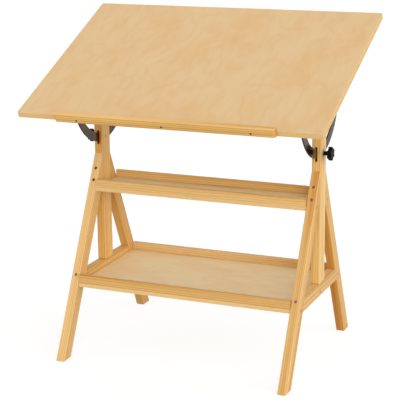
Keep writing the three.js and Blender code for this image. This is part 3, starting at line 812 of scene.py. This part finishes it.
def knob(side):
    """Knob with six rounded lobes, a boss, a bore for its screw and a groove in its face."""
    outward = X * side
    lobes = []
    for k in range(120):
        angle = 2 * math.pi * k / 120
        radius = KNOB_RADIUS + KNOB_WAVE * math.cos(KNOB_LOBES * (angle - math.pi / 2))
        lobes.append((radius * math.cos(angle), CLAMP_HEIGHT + radius * math.sin(angle)))
    grip = eased(extruded(lobes, side * KNOB_BOSS_END, side * KNOB_END), 2.6, 5, 0.9)
    profile = [
        (0, 362.1), (5.9, 362.1), (6.2, 362.5), (6.25, KNOB_BOSS_END - 2.1), (7.2, KNOB_BOSS_END - 0.5),
        (9.5, KNOB_BOSS_END + 0.5), (9.5, KNOB_BOSS_END + 3), (0, KNOB_BOSS_END + 3),
    ]
    whole = combined(grip, turned(profile, CLAMP, outward, 48), "UNION")
    groove = [(8.2, KNOB_END + 1), (9.2, KNOB_END + 1), (9.0, KNOB_END - 0.7), (8.4, KNOB_END - 0.7)]
    bore = rod(M6_BORE, 361, KNOB_END - 5.7, CLAMP, outward)
    return carved(whole, [bore, turned(groove, CLAMP, outward, 48)])


def add_clamp(side_name, side):
    """Clamp: insert in the post, washer, screw with a 1 mm thread, and knob."""
    outward = X * side
    knob_body = f"clamp_{side_name}_knob"
    piece(
        f"clamp_insert_{side_name}_detail", ring(M6_BORE, *INSERT, CLAMP, outward), TABLE, "frame",
        zinc_steel, replaces=[f"clamp_insert_{side_name}"],
    )
    piece(
        f"clamp_washer_{side_name}_detail", ring(M6_BORE, *WASHER, CLAMP, outward), TABLE,
        f"clamp_{side_name}_washer", zinc_steel, replaces=[f"clamp_washer_{side_name}"],
    )
    profile = [(0, 349.3), (2.2, 349.3), (2.9, 350.2)]
    for k in range(22):
        profile += [(3.0, 350.6 + k), (2.55, 351.1 + k)]
    profile += [(3.0, 373), (3.0, KNOB_END - 6), (0, KNOB_END - 6)]
    piece(
        f"clamp_screw_{side_name}_detail", turned(profile, CLAMP, outward, 24), TABLE, knob_body,
        zinc_steel, replaces=[f"clamp_screw_{side_name}"],
    )
    piece(
        f"clamp_knob_{side_name}_detail", knob(side), TABLE, knob_body, black_plastic,
        replaces=[f"clamp_knob_{side_name}"],
    )


shelf_cuts = {level: [] for level in SHELVES}
for side_name, side in SIDES.items():
    frame_x = (side * FRAME_INNER, side * FRAME_OUTER)
    cuts = {"front": [], "back": [], "rail": [], "post": [], **shelf_cuts}
    add_leg_bolts(side_name, side, cuts)
    add_panel_screws(side_name, side, cuts)
    for leg in LEGS:
        add_leg(leg, side_name, frame_x, cuts[leg])
    add_side_rail(side_name, frame_x, cuts["rail"])
    add_post(side_name, side, frame_x, cuts["post"])
    add_hinge(side_name, side)
    add_clamp(side_name, side)


# ---------------------------------------------------------------- shelves

UNDER_SCREW_PLACES = (-290, -145, 0, 145, 290)


def add_shelf(level, cuts):
    """Panel with a board along its front and back edges, screwed on from below."""
    bottom, upper, near, far = SHELVES[level]
    panel_top = bottom + SHELF_PANEL
    width = (-SHELF_HALF, SHELF_HALF)
    rows = {"front": near, "back": far - SHELF_BOARD}
    spots = {row: [(x, y + SHELF_BOARD / 2, bottom) for x in UNDER_SCREW_PLACES] for row, y in rows.items()}
    cuts = cuts + [screw_hole(UNDER_SCREW, s, Z) for row in spots.values() for s in row]
    panel = carved(eased(block(width, (near, far), (bottom, panel_top)), 0.6, 2), cuts)
    piece(
        f"{level}_shelf_panel_wood", panel, TABLE, "frame", shelf_ply[level],
        replaces=[f"{level}_shelf_panel"],
    )
    for row, y in rows.items():
        board = eased(block(width, (y, y + SHELF_BOARD), (panel_top + GAP, upper)), 1.0)
        board = carved(board, [screw_hole(UNDER_SCREW, s, Z) for s in spots[row]])
        wood = solid_wood(
            f"{level}_shelf_{row}_wood", spacing=6.5, late=0.7, **SHELF_BOARD_WOOD[level, row],
        )
        piece(
            f"{level}_shelf_{row}_board_wood", board, TABLE, "frame", wood,
            across=Y, replaces=[f"{level}_shelf_{row}_board"],
        )
        screws = gathered([cross_screw(UNDER_SCREW, s, Z) for s in spots[row]])
        piece(f"{level}_shelf_{row}_screws", screws, TABLE, "frame", zinc_steel)


for level in SHELVES:
    add_shelf(level, shelf_cuts[level])


# ---------------------------------------------------------------- board


def rounded_plan(half_width, near, far, near_radius, far_radius):
    """Outline of a board with rounded corners, as (x, y) points."""
    steps = 8
    corners = (
        (half_width - far_radius, far - far_radius, far_radius, 0),
        (far_radius - half_width, far - far_radius, far_radius, 1),
        (near_radius - half_width, near + near_radius, near_radius, 2),
        (half_width - near_radius, near + near_radius, near_radius, 3),
    )
    points = []
    for x, y, radius, quarter in corners:
        for k in range(steps + 1):
            angle = math.pi / 2 * (quarter + k / steps)
            points.append((x + radius * math.cos(angle), y + radius * math.sin(angle)))
    return points


def add_tabletop():
    """Tabletop, and the pencil ledge that is screwed to its front edge."""
    surface = TOP_UNDERSIDE + TOP_THICKNESS
    ledge_back = TOP_FRONT - GAP
    ledge_front = ledge_back - LEDGE_DEPTH
    ledge_top = surface + LEDGE_RISE
    screw_height = surface - LEDGE_SCREW_UNDER_SURFACE
    spots = {name: (x, ledge_front, screw_height) for name, x in LEDGE_SCREWS.items()}
    cuts = [screw_hole(LEDGE_SCREW, spot, Y) for spot in spots.values()]
    plan = rounded_plan(TOP_WIDTH / 2, TOP_FRONT, TOP_FRONT + TOP_DEPTH, TOP_CORNER, TOP_CORNER)
    board = eased(extruded(plan, TOP_UNDERSIDE, surface, "Z"), 1.0, 3, 0.9)
    piece(
        "tabletop_wood", carved(board, cuts), BOARD, "top", top_ply,
        along=Y, across=X, replaces=["tabletop"],
    )
    plan = rounded_plan(LEDGE_LENGTH / 2, ledge_front, ledge_back, 8, 1)
    ledge = eased(extruded(plan, ledge_top - LEDGE_HEIGHT, ledge_top, "Z"), 1.6, 3, 0.9)
    piece(
        "pencil_ledge_wood", carved(ledge, cuts), BOARD, "top",
        solid_wood("pencil_ledge_wood", **LEDGE_WOOD), replaces=["pencil_ledge"],
    )
    for name, spot in spots.items():
        piece(
            f"ledge_screw_{name}_detail", cross_screw(LEDGE_SCREW, spot, Y), BOARD, "top",
            brown_steel, replaces=[f"ledge_screw_{name}"],
        )


def add_bearer(side_name, side):
    """Bearer with its belly round the hinge bolt, and the screws that hold it to the board."""
    under = SEAT - BEARER_RAIL
    reach = math.hypot(BEARER_SHOULDER, under)
    tangent = math.atan2(under, -BEARER_SHOULDER) + math.acos(BEARER_BELLY / reach)
    cut = BEARER_CHAMFER
    points = [(-BEARER_HALF, SEAT), (-BEARER_HALF, under + cut), (-BEARER_HALF + cut, under)]
    points.append((-BEARER_SHOULDER, under))
    for k in range(25):
        angle = tangent + (3 * math.pi - 2 * tangent) * k / 24
        points.append((BEARER_BELLY * math.cos(angle), BEARER_BELLY * math.sin(angle)))
    points += [(BEARER_SHOULDER, under), (BEARER_HALF - cut, under)]
    points += [(BEARER_HALF, under + cut), (BEARER_HALF, SEAT)]
    bm = eased(extruded(points, side * BEARER_INNER, side * BEARER_OUTER), 1.3, 3, 0.6)
    middle = side * (BEARER_INNER + BEARER_OUTER) / 2
    spots = [(middle, y, under) for y in BEARER_SCREWS]
    cuts = [rod(M8_BORE, BEARER_INNER - PAST, BEARER_OUTER + PAST, (0, 0, 0), X * side)]
    cuts += [screw_hole(BEARER_SCREW, s, Z) for s in spots]
    piece(
        f"bearer_{side_name}_wood", carved(bm, cuts), BOARD, "top",
        solid_wood(f"bearer_{side_name}_wood", **BEARER_WOOD[side_name]), along=Y, across=X,
        replaces=[f"bearer_{side_name}"],
    )
    screws = gathered([cross_screw(BEARER_SCREW, s, Z) for s in spots])
    piece(f"bearer_{side_name}_screws", screws, BOARD, "top", zinc_steel)


def add_quadrant(side_name, side):
    """Flat steel band with bent feet, the screws in them, and a row of holes."""
    rim_end, bore_end = math.asin(SEAT / BAND_RIM), math.asin(SEAT / BAND_BORE)
    points = []
    for k in range(97):
        angle = math.pi - rim_end + (math.pi + 2 * rim_end) * k / 96
        points.append((BAND_RIM * math.cos(angle), BAND_RIM * math.sin(angle)))
    for k in range(97):
        angle = bore_end - (math.pi + 2 * bore_end) * k / 96
        points.append((BAND_BORE * math.cos(angle), BAND_BORE * math.sin(angle)))
    band = eased(extruded(points, side * BAND_INNER, side * BAND_OUTER), 0.5, 2, 0.6)
    near, far = math.sqrt(BAND_BORE**2 - SEAT**2), math.sqrt(BAND_RIM**2 - SEAT**2)
    foot_x, foot_z = (side * BAND_INNER, side * FOOT_OUTER), (SEAT - FOOT_THICKNESS, SEAT)
    cuts = []
    screws = []
    for end in (-1, 1):
        foot_y = sorted((end * near, end * far))
        band = combined(band, eased(block(foot_x, foot_y, foot_z), 0.5, 2), "UNION")
        for share in (0.28, 0.72):
            spot = (side * FOOT_HOLE_X, end * (near + share * (far - near)), foot_z[0])
            cuts.append(rod(FOOT_HOLE, -PAST, FOOT_THICKNESS + PAST, spot, Z, 24))
            screws.append(pan_screw(spot, Z, FOOT_THICKNESS))
    for k in range(INDEX_HOLES):
        angle = math.radians(INDEX_PITCH * k)
        spot = (0, -BAND_MEAN * math.sin(angle), -BAND_MEAN * math.cos(angle))
        cuts.append(rod(INDEX_HOLE, BAND_INNER - PAST, BAND_OUTER + PAST, spot, X * side, 24))
    piece(
        f"quadrant_{side_name}_steel", carved(band, cuts), BOARD, "top", black_steel,
        along=Y, across=X, replaces=[f"quadrant_{side_name}"],
    )
    piece(f"quadrant_{side_name}_screws", gathered(screws), BOARD, "top", zinc_steel)


add_tabletop()
for side_name, side in SIDES.items():
    add_bearer(side_name, side)
    add_quadrant(side_name, side)


# ---------------------------------------------------------------- stage, light and camera

FLOOR_REACH = 40
FLOOR_BOUNCE, FLOOR_SEEN = 0.32, 0.80
SKY = [(0.0, grey(1.06)), (0.10, grey(0.97)), (0.35, grey(0.72)), (1.0, grey(0.64))]
CAMERA_PLACE = (1.46766, -3.48842, 1.43741)
FOCAL_LENGTH = 117.86
YAW, PITCH, ROLL = 0.4041, -0.2553, -0.0114


def add_floor():
    """Floor that shines like a lit paper sweep, and throws less of that light back up on the table."""
    mesh = bpy.data.meshes.new("floor")
    corners = [(x * FLOOR_REACH, y * FLOOR_REACH, 0) for x, y in ((-1, -1), (1, -1), (1, 1), (-1, 1))]
    mesh.from_pydata(corners, [], [(0, 1, 2, 3)])
    material, tree = blank("pale_floor")
    paper = noise(tree, node(tree, "TexCoord").outputs["Object"], 3.0, 2.0)
    tint = ramp(tree, paper, [(0.3, grey(0.24)), (0.7, grey(0.26))])
    seen = node(tree, "LightPath").outputs["Is Camera Ray"]
    glow = node(tree, "MapRange", Value=seen, i3=FLOOR_BOUNCE, i4=FLOOR_SEEN).outputs[0]
    surfaced(
        tree, Base_Color=tint, Roughness=0.9, Specular_IOR_Level=0.1,
        Emission_Color=(1, 1, 1, 1), Emission_Strength=glow,
    )
    mesh.materials.append(material)
    floor = bpy.data.objects.new("floor", mesh)
    bpy.context.scene.collection.objects.link(floor)
    floor.location.z = -0.0004


def add_sky():
    """Light from the sky, pale at the horizon and dimmer overhead. The backdrop is seen as white."""
    world = bpy.data.worlds.new("studio")
    world.use_nodes = True
    sky = world.node_tree
    direction = node(sky, "TexCoord").outputs["Generated"]
    sky_height = node(sky, "SeparateXYZ", Vector=direction).outputs[2]
    seen = node(sky, "LightPath").outputs["Is Camera Ray"]
    tint = mixed(sky, seen, ramp(sky, sky_height, SKY), (1, 1, 1, 1))
    sky.links.new(tint, sky.nodes["Background"].inputs["Color"])
    bpy.context.scene.world = world


def softbox(name, azimuth, elevation, strength, spread):
    """Large soft light that reaches the whole stage evenly, from a direction round the table."""
    lamp = bpy.data.lights.new(name, "SUN")
    lamp.energy = strength
    lamp.angle = math.radians(spread)
    o = bpy.data.objects.new(name, lamp)
    a, e = math.radians(azimuth), math.radians(elevation)
    towards = Vector((math.cos(e) * math.sin(a), -math.cos(e) * math.cos(a), math.sin(e)))
    o.rotation_euler = towards.to_track_quat("Z", "Y").to_euler()
    bpy.context.scene.collection.objects.link(o)


def add_camera():
    """Camera in front of the table and to its right, turned by its yaw, pitch and roll."""
    right = Vector((math.cos(YAW), math.sin(YAW), 0))
    ahead = Vector((-math.sin(YAW), math.cos(YAW), 0))
    forward = ahead * math.cos(PITCH) + Z * math.sin(PITCH)
    up = right.cross(forward)
    right_rolled = right * math.cos(ROLL) + up * math.sin(ROLL)
    up_rolled = up * math.cos(ROLL) - right * math.sin(ROLL)
    lens = bpy.data.cameras.new("camera")
    lens.sensor_width = 36
    lens.lens = FOCAL_LENGTH
    lens.clip_end = 200
    camera = bpy.data.objects.new("camera", lens)
    pose = Matrix((right_rolled, up_rolled, -forward)).transposed().to_4x4()
    pose.translation = Vector(CAMERA_PLACE) + Vector((0, SHIFT_Y, 0))
    camera.matrix_world = pose
    bpy.context.scene.collection.objects.link(camera)
    bpy.context.scene.camera = camera


add_floor()
add_sky()
softbox("key", azimuth=25, elevation=16, strength=1.42, spread=40)
softbox("side", azimuth=85, elevation=22, strength=1.00, spread=60)
add_camera()
bpy.context.scene.view_settings.view_transform = "Standard"
